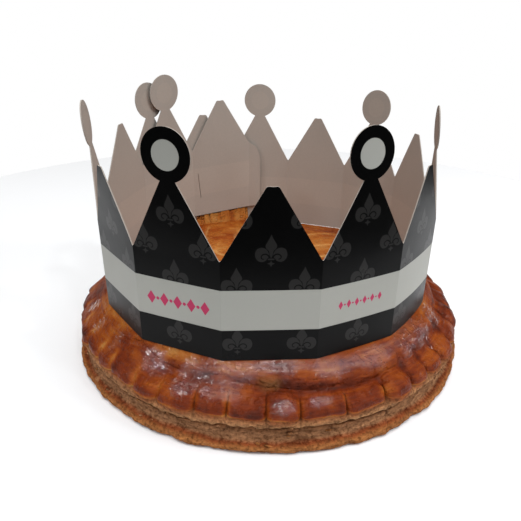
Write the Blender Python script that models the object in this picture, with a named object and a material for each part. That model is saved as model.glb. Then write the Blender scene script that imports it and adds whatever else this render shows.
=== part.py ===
"""Galette des rois with its folded card crown standing on the dome.

The pastry is one closed solid: a flat bottom, a layered side cut into cushions by knife notches, a groove
and a low dome. The crown is one strip of card, creased into equal panels that end by turns in a plain point
and in a ball. It is wrapped round once, with two panels lapped outside its inner end, where a narrow tab
turns off. Metres, +Z up, the front faces -Y, and the origin is the middle of the bottom.
"""

import math
import random

import bmesh
import bpy
from mathutils import Vector

GAP = 0.0003  # clearance between the card's foot and the pastry

# Pastry: rows of its side and rim, bottom to top, as (radius, height, depth of a knife notch)
RIM_ROWS = (
    (0.1130, 0.0000, 0.0004),
    (0.1172, 0.0016, 0.0008),
    (0.1166, 0.0056, 0.0010),
    (0.1142, 0.0080, 0.0012),
    (0.1134, 0.0122, 0.0014),
    (0.1131, 0.0138, 0.0016),
    (0.1150, 0.0164, 0.0026),
    (0.1151, 0.0192, 0.0032),
    (0.1132, 0.0224, 0.0026),
    (0.1100, 0.0246, 0.0014),
    (0.1060, 0.0258, 0.0005),
    (0.1034, 0.0262, 0.0000),
)
FIRST_LOOSE_ROW = 6  # from here up, each cushion stands in or out and up or down by itself
CUSHION_SPREAD = 0.0007
DOME_RADIUS = 0.1026
DOME_FOOT = 0.0270
DOME_RISE = 0.0124
DOME_POWER = 7  # how far the flat of the dome runs out before it rolls down to the groove
DOME_SWELL, DOME_SWELL_AT = 0.0012, -45  # the dome reaches furthest out at the front left
DOME_ROWS = (0.98, 0.945, 0.88, 0.74, 0.43)
FRONT_NOTCHES = (-79, -70, -62, -54, -47, -38, -30, -20, -12, -3, 5, 16, 27, 36, 43, 51, 60, 69)
BACK_CUSHIONS = 24  # equal ones, from the last front notch round the back to the first
DEEP_NOTCHES, DEEPER = (27, 69), 1.7  # the cushions at the right are cut deeper
CUSHION_COLUMNS = ((0.0, 0.0), (0.13, 0.75), (0.5, 1.0), (0.87, 0.75))  # (place along it, swell)

# Crown: a strip of card, in its own flat sizes
CARD = 0.0006
PANEL_WIDTH = 0.0436
VALLEY_HEIGHT = 0.0492
PLAIN_TIP_HEIGHT, PLAIN_TIP_HALF = 0.0820, 0.0024
BALL_HEIGHT, BALL_RADIUS, NECK_HALF = 0.0926, 0.0113, 0.0036
BALL_STEPS = 16
FRONT_HEADING = 1.2  # degrees, the front panel's direction from +X
TURNS_RIGHT = (24, 26, 26, 22, 32, 27, 25, 24, 26)  # degrees at each crease, going right from the front
TURNS_LEFT = (26, 30, 27, 27, 24, 28)  # and going left
INNER_RISE, INNER_RISE_PANELS = 0.0142, 4  # the inner end of the strip rides up over the outer one
OUTER_RISE, OUTER_RISE_PANELS = 0.0055, 3
TAB, TAB_TURN, TAB_SIDE, TAB_SHOULDER = 0.0085, 20, 0.0380, (0.0058, 0.0455)  # past the inner end
POINT_LEAN = {3: 0.0035, 4: 0.0025, 5: 0.0020, 7: -0.0020, 9: -0.0040, 11: 0.0015}  # out, by panel


def clear_scene():
    for obj in list(bpy.data.objects):
        bpy.data.objects.remove(obj, do_unlink=True)


def material(name, color, roughness, coat=0.0):
    made = bpy.data.materials.new(name)
    made.use_nodes = True
    shader = made.node_tree.nodes["Principled BSDF"]
    shader.inputs["Base Color"].default_value = (*color, 1.0)
    shader.inputs["Roughness"].default_value = roughness
    shader.inputs["Metallic"].default_value = 0.0
    shader.inputs["Coat Weight"].default_value = coat
    return made


def object_from(name, mesh_data, made_material, smooth_angle=None):
    bmesh.ops.recalc_face_normals(mesh_data, faces=mesh_data.faces)
    mesh = bpy.data.meshes.new(name)
    mesh_data.to_mesh(mesh)
    mesh_data.free()
    mesh.materials.append(made_material)
    if smooth_angle is not None:
        mesh.shade_smooth()
        mesh.set_sharp_from_angle(angle=math.radians(smooth_angle))
    obj = bpy.data.objects.new(name, mesh)
    bpy.context.scene.collection.objects.link(obj)
    return obj


# ---------------------------------------------------------------- pastry


def notch_angles():
    """Degrees from the front towards +X, all the way round."""
    first, last = FRONT_NOTCHES[0] + 360, FRONT_NOTCHES[-1]
    step = (first - last) / BACK_CUSHIONS
    return list(FRONT_NOTCHES) + [last + step * i for i in range(1, BACK_CUSHIONS)]


def cushion_columns():
    """(angle in degrees, swell, how deep the notches are here, radial and upward offset of the cushion)."""
    notches = notch_angles()
    chance = random.Random(6)
    columns = []
    for here, after in zip(notches, notches[1:] + [notches[0] + 360]):
        out, up = (chance.uniform(-CUSHION_SPREAD, CUSHION_SPREAD) for _ in range(2))
        deep = DEEPER if DEEP_NOTCHES[0] <= here <= DEEP_NOTCHES[1] else 1.0
        for place, swell in CUSHION_COLUMNS:
            columns.append((here + (after - here) * place, swell, deep, out * swell, up * swell))
    return columns


def dome_radius(degrees):
    return DOME_RADIUS + DOME_SWELL * math.cos(math.radians(degrees - DOME_SWELL_AT))


def dome_height(share):
    """Height of the dome at a share of its radius."""
    return DOME_FOOT + DOME_RISE * math.sqrt(max(0.0, 1 - share**DOME_POWER))


def on_pastry(degrees, radius, height):
    turn = math.radians(degrees)
    return Vector((radius * math.sin(turn), -radius * math.cos(turn), height))


def pastry_rings():
    columns = cushion_columns()
    rings = []
    for row, (radius, height, notch) in enumerate(RIM_ROWS):
        loose = row >= FIRST_LOOSE_ROW and notch > 0
        rings.append(
            [
                on_pastry(
                    degrees,
                    radius - notch * deep * (1 - swell) + (out if loose else 0),
                    height + (up if loose else 0),
                )
                for degrees, swell, deep, out, up in columns
            ]
        )
    for share in DOME_ROWS:
        rings.append(
            [on_pastry(column[0], share * dome_radius(column[0]), dome_height(share)) for column in columns]
        )
    return rings


def centred(rings):
    """The same rings, moved so that the middle of their outline is the origin."""
    points = [point for ring in rings for point in ring]
    middle = Vector(
        [(min(point[axis] for point in points) + max(point[axis] for point in points)) / 2 for axis in (0, 1)]
        + [0.0]
    )
    return [[point - middle for point in ring] for ring in rings], middle


def galette(made_material):
    rings, middle = centred(pastry_rings())
    build = bmesh.new()
    made = [[build.verts.new(point) for point in ring] for ring in rings]
    count = len(made[0])
    for lower, upper in zip(made, made[1:]):
        for i in range(count):
            after = (i + 1) % count
            build.faces.new((lower[i], lower[after], upper[after], upper[i]))
    build.faces.new(made[0])
    top = build.verts.new(Vector((0, 0, dome_height(0))) - middle)
    for i in range(count):
        build.faces.new((made[-1][i], made[-1][(i + 1) % count], top))
    return object_from("galette", build, made_material, smooth_angle=35)


# ---------------------------------------------------------------- crown


def crease_plan():
    """Plan points of the strip's creases and its two ends, from the inner end round to the outer one."""

    def walk(point, heading, turns, way):
        points = []
        for turn in turns:
            heading += way * turn
            step = Vector((math.cos(math.radians(heading)), math.sin(math.radians(heading))))
            point = point + step * PANEL_WIDTH * way
            points.append(point)
        return points

    start = Vector((0.0, 0.0))
    right = walk(start, FRONT_HEADING, (0,) + TURNS_RIGHT, 1)
    left = walk(start, FRONT_HEADING, TURNS_LEFT, -1)
    ring = left[::-1] + [start] + right
    once_round = ring[: len(ring) - 3]
    middle = sum(once_round, Vector((0.0, 0.0))) / len(once_round)
    return [point - middle for point in ring]


def tab_end(plan):
    """The plan point where the tab past the inner end stops: it turns back towards the outer layer."""
    along = plan[0] - plan[1]
    heading = math.atan2(along.y, along.x) - math.radians(TAB_TURN)
    return plan[0] + Vector((math.cos(heading), math.sin(heading))) * TAB


def foot_rise(index, count):
    """How far a crease's foot rides above the foot of the rest of the strip."""
    from_inner, from_outer = index, count - 1 - index
    inner = INNER_RISE * max(0.0, 1 - from_inner / INNER_RISE_PANELS)
    outer = OUTER_RISE * max(0.0, 1 - from_outer / OUTER_RISE_PANELS)
    return max(inner, outer)


def outward(first, second):
    """The unit normal of a panel, away from the crown's middle."""
    along = (second - first).normalized()
    return Vector((along.y, -along.x))


def crease_offsets(plan):
    """At each crease, the step from the middle of the card to its outer face."""
    normals = [outward(a, b) for a, b in zip(plan, plan[1:])]
    offsets = []
    for i in range(len(plan)):
        before, after = normals[max(0, i - 1)], normals[min(len(normals) - 1, i)]
        offsets.append((before + after) * (CARD / 2) / (1 + before.dot(after)))
    return normals, offsets


def point_outline(panel):
    """The point's outline above the valleys, right to left, as (distance from the panel's middle, height)."""
    if panel % 2 == 0:
        return [(PLAIN_TIP_HALF, PLAIN_TIP_HEIGHT), (-PLAIN_TIP_HALF, PLAIN_TIP_HEIGHT)]
    neck = math.asin(NECK_HALF / BALL_RADIUS)
    turns = [neck + (2 * math.pi - 2 * neck) * i / BALL_STEPS for i in range(BALL_STEPS + 1)]
    return [(BALL_RADIUS * math.sin(turn), BALL_HEIGHT - BALL_RADIUS * math.cos(turn)) for turn in turns]


def crown_foot(plan):
    """The height at which the strip's lowest foot just clears the dome."""
    highest = 0.0
    for i, (a, b) in enumerate(zip(plan, plan[1:])):
        for step in range(9):
            point = a.lerp(b, step / 8) * (1 - CARD / (2 * a.length))
            degrees = math.degrees(math.atan2(point.x, -point.y))
            share = point.length / dome_radius(degrees)
            rise = min(foot_rise(i, len(plan)), foot_rise(i + 1, len(plan)))
            highest = max(highest, dome_height(min(1.0, share)) - rise)
    return highest + GAP


def crown(made_material):
    plan = crease_plan()
    tab_place = tab_end(plan)
    normals, offsets = crease_offsets([tab_place] + plan)
    normals, tab_offset, offsets = normals[1:], offsets[0], offsets[1:]
    foot = crown_foot(plan)
    build = bmesh.new()

    def pair(place, offset, height):
        """One corner of the card, on its outer and on its inner face."""
        sides = (place + offset, place - offset)
        return [build.verts.new((corner.x, corner.y, height)) for corner in sides]

    def face(corners):
        build.faces.new([corner[0] for corner in corners])
        build.faces.new([corner[1] for corner in reversed(corners)])

    def edge(first, second):
        build.faces.new((first[0], first[1], second[1], second[0]))

    feet = [foot + foot_rise(i, len(plan)) for i in range(len(plan))]
    bottoms = [pair(plan[i], offsets[i], feet[i]) for i in range(len(plan))]
    valleys = [pair(plan[i], offsets[i], feet[i] + VALLEY_HEIGHT) for i in range(len(plan))]
    for panel, normal in enumerate(normals):
        a, b = plan[panel], plan[panel + 1]
        outline = point_outline(panel)
        reach = max(height for _, height in outline) - VALLEY_HEIGHT
        corners = []
        for across, height in outline:
            share = 0.5 + across / PANEL_WIDTH
            lean = POINT_LEAN.get(panel, 0.0) * (height - VALLEY_HEIGHT) / reach
            rise = feet[panel] + (feet[panel + 1] - feet[panel]) * share
            corners.append(pair(a.lerp(b, share) + normal * lean, normal * (CARD / 2), rise + height))
        face([bottoms[panel], bottoms[panel + 1], valleys[panel + 1], valleys[panel]])
        face([valleys[panel], valleys[panel + 1]] + corners)
        edge(bottoms[panel], bottoms[panel + 1])
        top = [valleys[panel + 1]] + corners + [valleys[panel]]
        for first, second in zip(top, top[1:]):
            edge(first, second)
    edge(bottoms[-1], valleys[-1])
    tab_foot = foot + INNER_RISE * (1 + TAB / (PANEL_WIDTH * INNER_RISE_PANELS))
    tab = [bottoms[0], valleys[0]]
    for away, height in (TAB_SHOULDER, (TAB, TAB_SIDE), (TAB, 0.0)):
        share = away / TAB
        low = feet[0] + (tab_foot - feet[0]) * share
        tab.append(pair(plan[0].lerp(tab_place, share), offsets[0].lerp(tab_offset, share), low + height))
    face(tab)
    for first, second in zip(tab[1:], tab[2:] + tab[:1]):
        edge(first, second)
    return object_from("crown", build, made_material)


def main():
    clear_scene()
    galette(material("glazed_puff_pastry", (0.32, 0.085, 0.018), 0.32, coat=0.5))
    crown(material("printed_card", (0.006, 0.006, 0.007), 0.38))


main()
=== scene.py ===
"""Looks for the galette des rois: the glazed, layered pastry and the printed card crown that stands on it.

Both CAD nodes are replaced by finer meshes on the same sizes and the same centre. Metres, +Z up, the front
faces -Y. Sizes of the pastry's profile and of the print are in millimetres, and named so.
"""

import math
import random
from types import SimpleNamespace

import bmesh
import bpy
import numpy as np
from mathutils import Matrix, Vector
from mathutils.geometry import delaunay_2d_cdt


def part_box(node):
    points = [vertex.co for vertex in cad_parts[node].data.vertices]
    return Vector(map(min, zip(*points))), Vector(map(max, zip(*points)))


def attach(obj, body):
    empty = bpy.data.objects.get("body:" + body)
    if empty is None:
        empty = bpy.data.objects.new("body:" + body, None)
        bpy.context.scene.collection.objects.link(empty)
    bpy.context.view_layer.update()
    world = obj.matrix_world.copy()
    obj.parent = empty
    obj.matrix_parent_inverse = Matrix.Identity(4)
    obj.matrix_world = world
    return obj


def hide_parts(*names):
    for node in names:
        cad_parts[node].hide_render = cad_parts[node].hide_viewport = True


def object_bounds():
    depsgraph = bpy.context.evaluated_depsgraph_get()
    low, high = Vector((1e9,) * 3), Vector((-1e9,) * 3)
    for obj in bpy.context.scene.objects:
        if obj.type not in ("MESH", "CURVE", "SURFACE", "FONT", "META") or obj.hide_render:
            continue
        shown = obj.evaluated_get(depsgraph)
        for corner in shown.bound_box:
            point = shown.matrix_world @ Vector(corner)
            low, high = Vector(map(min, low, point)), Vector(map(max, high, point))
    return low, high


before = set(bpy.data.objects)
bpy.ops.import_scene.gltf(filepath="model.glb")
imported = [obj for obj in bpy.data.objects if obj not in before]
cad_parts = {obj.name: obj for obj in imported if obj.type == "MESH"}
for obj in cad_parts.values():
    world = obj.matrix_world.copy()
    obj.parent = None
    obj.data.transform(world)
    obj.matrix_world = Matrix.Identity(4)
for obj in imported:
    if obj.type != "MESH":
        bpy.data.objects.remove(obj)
CAD_LOW, CAD_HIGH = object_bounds()
CROWN_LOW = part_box("crown")[0]
MM = 0.001

# Camera: a phone held in front of the crown, looking down on it
CAMERA_FROM_CENTRE = (-0.0144, -0.2819)
CAMERA_ABOVE_FOOT = 0.1349
CAMERA_YAW, CAMERA_PITCH, CAMERA_ROLL = 1.93, 24.36, 0.54  # degrees: to the right, down, clockwise
SENSOR, LENS = 36.0, 33.93

# Crown: the strip's flat sizes, as in the CAD
CARD = 0.55  # mm, under the CAD's 0.6
PANEL_WIDTH = 43.6
VALLEY_HEIGHT, VALLEY_ROUND = 49.2, 0.55  # the bottom of each valley is a small round
PLAIN_TIP_HEIGHT, PLAIN_TIP_HALF = 82.0, 2.4
BALL_HEIGHT, BALL_RADIUS, NECK_HALF = 92.6, 11.3, 3.6
DISC_RADIUS = 6.3
FRONT_HEADING = 1.2
TURNS_RIGHT = (24, 26, 26, 22, 32, 27, 25, 24, 26)
TURNS_LEFT = (26, 30, 27, 27, 24, 28)
INNER_RISE, INNER_RISE_PANELS = 14.2, 4
OUTER_RISE, OUTER_RISE_PANELS = 5.5, 3
TAB, TAB_TURN, TAB_SIDE, TAB_SHOULDER = 8.5, 20, 38.0, (5.8, 45.5)
POINT_LEAN = {3: 3.5, 4: 2.5, 5: 2.0, 7: -2.0, 9: -4.0, 11: 1.5}
PANEL_BOW = (0.5, 0.4, 0.3, 0.7, 1.1, 0.5, 0.25, 0.5, 1.2, 0.8, 0.5, 0.6, 0.4, 0.6, 0.5, 0.5)  # mm, outwards
FRONT_PANEL = 6
BAND = (16.1, 36.1)
LATTICE_START, LATTICE_STEP = (7.0, 10.5), (14.53, 14.7)
SLOT_PANEL, SLOT_AT, SLOT_LONG, SLOT_HALF, SLOT_LEAN = 0, (38.6, 13.5), 19.0, 0.2, 1.6
BOLD_ORNAMENT_PANEL, FINE_ORNAMENT_PANEL = 5, 7

# Pastry: the profile of its side and rim, bottom to top, as (radius, height) in mm
SIDE_PROFILE = (
    (112.8, 0.0), (115.4, 0.2), (116.8, 1.0), (117.2, 2.2), (116.8, 3.6), (115.7, 4.5), (114.4, 5.1),
    (113.7, 6.0), (113.5, 8.0), (113.4, 10.0), (113.2, 11.4), (113.0, 12.1), (113.1, 12.6), (114.0, 13.1),
    (114.7, 14.0), (115.0, 15.6), (115.1, 17.4), (114.8, 19.3), (113.7, 21.3), (112.0, 23.0), (109.9, 24.3),
    (107.6, 25.2), (105.4, 25.8), (103.7, 26.3),
)  # fmt: skip
DOME_RADIUS, DOME_FOOT, DOME_RISE, DOME_POWER = 102.6, 26.4, 13.0, 7
DOME_SWELL, DOME_SWELL_AT = 1.2, -45
RIM_RADIUS = 115  # where lengths round the rim are measured
STROKES_ROUND, STROKE_WIDTH = 10.5, 1.15  # brush strokes: steps of the noise in a radian, and mm across
HALF_COLUMNS_INSIDE, QUARTER_COLUMNS_INSIDE = 62, 27  # radii in mm
PALE_SPOT, PALE_SPOT_SIZE = (-4.0, -101.5, 28.0), (1.7, 1.3, 1.4)

# Knife notches: depth at each height, in mm, and places in degrees from the front towards +X
NOTCH_DEPTHS = (
    (0, 0.5), (1.6, 0.9), (6, 1.1), (14.2, 1.5), (17, 2.5), (20, 2.9), (23, 2.3), (25.1, 1.5), (26, 0.8)
)  # fmt: skip
FRONT_NOTCHES = (-79, -70, -62, -54, -47, -38, -30, -20, -12, -3, 5, 16, 27, 36, 43, 51, 60, 69)
BACK_CUSHIONS = 24
DEEPER = 1.7  # the deep notches at the right, against the others

# Values round the rim, each at its angle in degrees from the front
GROOVE_SHIFTS = (
    (-180, 0.0), (-62, -0.6), (-45, -1.6), (-8, -1.6), (3, 1.2), (12, 2.0), (40, 2.2), (62, 0.8), (180, 0.0)
)  # fmt: skip
GROOVE_DEPTHS = (
    (-180, 0.6), (-80, 0.3), (-50, 0.1), (-38, 0.9), (-10, 0.8), (0, 1.0), (28, 1.0), (40, 0.3), (80, 0.3),
    (180, 0.6),
)  # fmt: skip
CARD_SLOPES = (
    (-180, 1.2), (-75, 0.8), (-46, 0.95), (-35, 1.6), (-8, 1.7), (2, 1.25), (28, 1.15), (42, 0.9), (75, 0.8),
    (110, 1.2),
)  # fmt: skip
KNIFE_STRENGTHS = (
    (-180, 0.6), (-60, 0.1), (-30, 0.2), (-18, 0.9), (0, 1.0), (30, 1.0), (45, 0.5), (180, 0.6)
)  # fmt: skip
CUSHION_SPREAD = 0.7
COLUMNS_PER_CUSHION = 24
SCORE_LINES = 15
LOOSE_FLAKES = 90

# Where the glaze stayed thick and glints: degrees from the front, radius, length round and width in mm
WET_PATCHES = (
    (-34, 104, 7, 5), (-22, 103, 9, 5), (-13, 101, 13, 4.5), (-14, 108, 10, 4), (-25, 109, 5, 4),
    (0, 96, 14, 3.5), (15, 98, 9, 4), (1, 112, 6, 3), (10, 110, 6, 3.5), (28, 98, 11, 5), (42, 96, 7, 6),
    (50, 99, 8, 8), (62, 100, 7, 6), (-50, 106, 4, 5), (-62, 108, 4, 5), (-74, 107, 5, 4),
)  # fmt: skip

# Pastry colours along each ramp, as they look on a screen, and the tints that multiply them
CRUST_TONES = (
    (0.00, (190, 132, 68)),
    (0.22, (175, 101, 37)),
    (0.42, (151, 71, 19)),
    (0.62, (118, 45, 13)),
    (0.82, (83, 29, 10)),
    (1.00, (50, 20, 10)),
)
SIDE_TONES = (
    (0.00, (130, 76, 38)),
    (0.05, (168, 110, 62)),
    (0.12, (174, 114, 64)),
    (0.160, (138, 70, 36)),
    (0.195, (166, 120, 84)),
    (0.30, (168, 122, 86)),
    (0.38, (146, 100, 66)),
    # the stop at 0.41 lies at the crack's height: painted shade in the crack
    (0.41, (112, 70, 44)),
    (0.445, (186, 142, 100)),
    (0.53, (172, 118, 78)),
    (0.59, (146, 78, 44)),
)
CRUMB_TINTS = ((0.34, (0.52, 0.46, 0.42)), (0.50, (0.98, 0.97, 0.96)), (0.66, (1.26, 1.25, 1.23)))
LEAF_TINTS = ((0.30, (0.46, 0.38, 0.32)), (0.44, (0.86, 0.82, 0.80)), (0.66, (1.25, 1.22, 1.20)))
# The second tone is painted shade, laid into the knife notches and the crack in the side
SCORED_TONE, NOTCH_SHADE_TONE = (208, 152, 88), (66, 30, 18)

# Stage, in metres: a pale round table top, most of it behind the object, and small lamps above the front
FLOOR_RADIUS, FLOOR_BACK = 0.40, 0.16
LAMP_PLACES = (
    (-0.62, -0.30, 0.86),
    (-0.76, -0.56, 0.56),
    (-0.30, -0.66, 0.84),
    (-0.12, -0.48, 0.98),
    (-0.02, -0.28, 1.04),
    (0.10, -0.84, 0.66),
    (0.30, -0.62, 0.82),
    (0.46, -0.36, 0.89),
    (0.72, -0.30, 0.70),
    (0.90, -0.12, 0.54),
)
LAMP_SIZE, LAMP_POWER = (0.06, 0.03), 0.75
LAMPS_AIM = (0.0, 0.0, 0.03)
RIGHT_PLACE, RIGHT_SIZE, RIGHT_POWER = (0.60, -0.15, 0.42), (0.40, 0.30), 0.8
SKY_POWER, SKY_ANGLE, SKY_TILT = 1.85, 70, -8  # degrees
SKY_GREYS = ((0.30, 0.02), (0.48, 0.06), (0.62, 0.10), (0.90, 0.14))


# ---- noise


def lattice_value(corner, seed):
    """A number from 0 to 1 for each corner of the noise's lattice."""
    mixed = corner[..., 0] * 73856093 ^ corner[..., 1] * 19349663 ^ corner[..., 2] * 83492791
    mixed = mixed ^ seed * 2654435761
    mixed = (mixed ^ (mixed >> 13)) * 1274126177 & 0x7FFFFFFF
    return ((mixed ^ (mixed >> 16)) & 0xFFFFF) / 0xFFFFF


def noise(points, cell, seed):
    """Smooth value noise from -1 to 1. cell is the size of a lump, in the points' units."""
    scaled = points / np.asarray(cell, float)
    base = np.floor(scaled).astype(np.int64)
    part = scaled - base
    part = part * part * (3 - 2 * part)
    total = np.zeros(points.shape[:-1])
    for step in np.ndindex(2, 2, 2):
        weight = np.prod(np.where(np.array(step) == 1, part, 1 - part), axis=-1)
        total += weight * lattice_value(base + np.array(step), seed)
    return total * 2 - 1


def rough_noise(points, cell, seed, octaves=3):
    """Noise with finer and weaker noise on top."""
    total, weight = 0, 0
    for octave in range(octaves):
        share = 0.5**octave
        total = total + share * noise(points, np.asarray(cell, float) * share, seed + 17 * octave)
        weight += share
    return total / weight


def ramp(value, low, high):
    """0 below low, 1 above high and smooth between."""
    share = np.clip((value - low) / (high - low), 0, 1)
    return share * share * (3 - 2 * share)


def bump_at(value, middle, width):
    """1 at the middle, falling smoothly to nothing about two widths away."""
    return np.exp(-(((value - middle) / width) ** 2))


# ---- materials


def new_object(name, data):
    made = bpy.data.objects.new(name, data)
    bpy.context.scene.collection.objects.link(made)
    return made


def new_material(name):
    made = bpy.data.materials.new(name)
    made.use_nodes = True
    tree = made.node_tree
    return made, tree, tree.nodes["Principled BSDF"]


def add(tree, kind, settings=None, **inputs):
    """A node with its settings and its inputs, which are numbers or other nodes' outputs.

    An input is given by its name, or as i and its number."""
    node = tree.nodes.new(kind)
    for name, value in (settings or {}).items():
        setattr(node, name, value)
    for name, value in inputs.items():
        key = int(name[1:]) if name[0] == "i" and name[1:].isdigit() else name
        connect(tree, value, node.inputs[key])
    return node


def connect(tree, value, socket):
    if isinstance(value, bpy.types.NodeSocket):
        tree.links.new(value, socket)
    else:
        socket.default_value = value


def color_ramp(tree, factor, stops):
    node = tree.nodes.new("ShaderNodeValToRGB")
    elements = node.color_ramp.elements
    while len(elements) < len(stops):
        elements.new(0.5)
    for element, (position, color) in zip(elements, stops):
        element.position = position
        element.color = (*color, 1.0)
    connect(tree, factor, node.inputs["Fac"])
    return node.outputs["Color"]


def grey_ramp(tree, factor, stops):
    return color_ramp(tree, factor, [(position, (grey,) * 3) for position, grey in stops])


def times(tree, a, b):
    return add(tree, "ShaderNodeMath", {"operation": "MULTIPLY"}, i0=a, i1=b).outputs[0]


def centred(tree, value):
    """A noise's value around 0."""
    return add(tree, "ShaderNodeMath", {"operation": "SUBTRACT"}, i0=value, i1=0.5).outputs[0]


def plus_times(tree, base, a, b):
    """base + a * b"""
    return add(tree, "ShaderNodeMath", {"operation": "MULTIPLY_ADD"}, i0=a, i1=b, i2=base).outputs[0]


def mix_color(tree, factor, a, b, blend="MIX"):
    node = add(tree, "ShaderNodeMix", {"data_type": "RGBA", "blend_type": blend}, i0=factor, i6=a, i7=b)
    return node.outputs[2]


def noise_node(tree, vector, scale, detail=3.0, roughness=0.5):
    node = add(tree, "ShaderNodeTexNoise", Vector=vector, Scale=scale, Detail=detail, Roughness=roughness)
    return node.outputs["Fac"]


def attribute(tree, name, output="Fac"):
    return add(tree, "ShaderNodeAttribute", {"attribute_name": name}).outputs[output]


def bump(tree, height, strength, distance, normal=None):
    node = add(tree, "ShaderNodeBump", Strength=strength, Distance=distance, Height=height)
    if normal is not None:
        tree.links.new(normal, node.inputs["Normal"])
    return node.outputs["Normal"]


def linear(red, green, blue):
    """A colour as it looks on a screen, from 0 to 255, in the shader's linear numbers."""
    shares = (value / 255 for value in (red, green, blue))
    return tuple(share / 12.92 if share <= 0.04045 else ((share + 0.055) / 1.055) ** 2.4 for share in shares)


def card_material(name, color, roughness, specular, grain):
    """Printed or bare card: a fine fibre grain, slow changes of tone and a slight wave."""
    made, tree, shader = new_material(name)
    where = add(tree, "ShaderNodeTexCoord").outputs["Object"]
    fibre = noise_node(tree, where, 900.0, 4.0, 0.65)
    tone = plus_times(tree, 0.93, noise_node(tree, where, 22.0, 2.0), 0.14)
    flecks = plus_times(tree, 1 - grain / 2, fibre, grain)
    shade = mix_color(tree, 1.0, (*color, 1.0), times(tree, tone, flecks), "MULTIPLY")
    tree.links.new(shade, shader.inputs["Base Color"])
    rough = plus_times(tree, roughness - 0.06, noise_node(tree, where, 60.0, 3.0), 0.12)
    tree.links.new(rough, shader.inputs["Roughness"])
    shader.inputs["Specular IOR Level"].default_value = specular
    wave = bump(tree, noise_node(tree, where, 45.0, 1.0), 0.05, 0.002)
    tree.links.new(bump(tree, fibre, 0.10, 0.0002, wave), shader.inputs["Normal"])
    return made


def crust_color(tree, grain):
    """From gold to nearly burnt, with the scored lines paler."""
    baked = plus_times(tree, attribute(tree, "brown"), centred(tree, grain.blotch), 0.55)
    baked = plus_times(tree, baked, centred(tree, grain.strokes), 0.34)
    crust = color_ramp(tree, baked, [(position, linear(*tone)) for position, tone in CRUST_TONES])
    scored = times(tree, attribute(tree, "pale"), 0.9)
    return mix_color(tree, scored, crust, (*linear(*SCORED_TONE), 1.0))


def side_color(tree, grain):
    """Each layer of the side in its own tone, with painted shade along the crack, speckled with crumbs and
    lined with thin sheets.
    """
    ragged = plus_times(tree, attribute(tree, "layer"), centred(tree, grain.sheets), 0.07)
    ragged = plus_times(tree, ragged, centred(tree, grain.speck), 0.02)
    side = color_ramp(tree, ragged, [(position, linear(*tone)) for position, tone in SIDE_TONES])
    side = mix_color(tree, 1.0, side, color_ramp(tree, grain.speck, CRUMB_TINTS), "MULTIPLY")
    return mix_color(tree, 1.0, side, color_ramp(tree, grain.sheets, LEAF_TINTS), "MULTIPLY")


def add_pastry_relief(tree, shader, grain, glaze):
    """Brush strokes and small drops in the glaze, crumbs and sheets where there is none."""
    drops = grey_ramp(tree, grain.ripple, ((0.50, 0.0), (0.62, 0.6), (0.74, 1.0)))
    glazed = bump(tree, times(tree, grain.strokes, glaze), 0.6, 0.0012)
    glazed = bump(tree, times(tree, drops, glaze), 1.0, 0.0005, glazed)
    tree.links.new(glazed, shader.inputs["Coat Normal"])
    bare = add(tree, "ShaderNodeMath", {"operation": "SUBTRACT"}, i0=1.0, i1=glaze).outputs[0]
    rough = bump(tree, times(tree, grain.speck, bare), 0.8, 0.0014, glazed)
    rough = bump(tree, times(tree, grain.sheets, bare), 0.8, 0.0030, rough)
    tree.links.new(bump(tree, grain.fine, 0.18, 0.0003, rough), shader.inputs["Normal"])


def pastry_material():
    """Glazed crust above, flaky layers at the side: the vertices' attributes say where each one is."""
    made, tree, shader = new_material("glazed_puff_pastry")
    where = add(tree, "ShaderNodeTexCoord").outputs["Object"]
    flat = (1.0, 1.0, 5.0)
    low = add(tree, "ShaderNodeVectorMath", {"operation": "MULTIPLY"}, i0=where, i1=flat).outputs[0]
    grain = SimpleNamespace(
        strokes=noise_node(tree, attribute(tree, "brush", "Vector"), 1.0, 3.0, 0.6),
        blotch=noise_node(tree, where, 120.0, 4.0, 0.6),
        speck=noise_node(tree, where, 620.0, 3.0, 0.6),
        sheets=noise_node(tree, low, 95.0, 5.0, 0.7),
        ripple=noise_node(tree, where, 420.0, 1.0, 0.5),
        fine=noise_node(tree, where, 1700.0, 2.0, 0.6),
    )
    glaze = attribute(tree, "glaze")
    color = mix_color(tree, glaze, side_color(tree, grain), crust_color(tree, grain))
    # Painted shade: darkens the knife notches and the crack in the side
    color = mix_color(tree, times(tree, attribute(tree, "dark"), 0.85), color, (*linear(*NOTCH_SHADE_TONE), 1.0))
    tree.links.new(color, shader.inputs["Base Color"])
    dull = plus_times(tree, 0.85, glaze, -0.40)
    tree.links.new(plus_times(tree, dull, centred(tree, grain.blotch), 0.25), shader.inputs["Roughness"])
    tree.links.new(times(tree, glaze, attribute(tree, "wet")), shader.inputs["Coat Weight"])
    shader.inputs["Coat Roughness"].default_value = 0.07
    shader.inputs["Coat IOR"].default_value = 2.0
    shader.inputs["Specular IOR Level"].default_value = 0.14
    add_pastry_relief(tree, shader, grain, glaze)
    return made


def floor_material():
    made, tree, shader = new_material("pale_floor")
    where = add(tree, "ShaderNodeTexCoord").outputs["Object"]
    tone = grey_ramp(tree, noise_node(tree, where, 3.0, 2.0), ((0.3, 0.97), (0.7, 0.99)))
    tree.links.new(tone, shader.inputs["Base Color"])
    shader.inputs["Roughness"].default_value = 0.8
    shader.inputs["Specular IOR Level"].default_value = 0.2
    return made


# ---- crown: where the strip stands


def crease_plan():
    """Plan points, in mm, of the strip's creases and ends, from the inner end round to the outer one."""

    def walk(point, heading, turns, way):
        points = []
        for turn in turns:
            heading += way * turn
            step = Vector((math.cos(math.radians(heading)), math.sin(math.radians(heading))))
            point = point + step * PANEL_WIDTH * way
            points.append(point)
        return points

    start = Vector((0.0, 0.0))
    right = walk(start, FRONT_HEADING, (0,) + TURNS_RIGHT, 1)
    left = walk(start, FRONT_HEADING, TURNS_LEFT, -1)
    ring = left[::-1] + [start] + right
    once_round = ring[: len(ring) - 3]
    middle = sum(once_round, Vector((0.0, 0.0))) / len(once_round)
    return [point - middle for point in ring]


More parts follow.
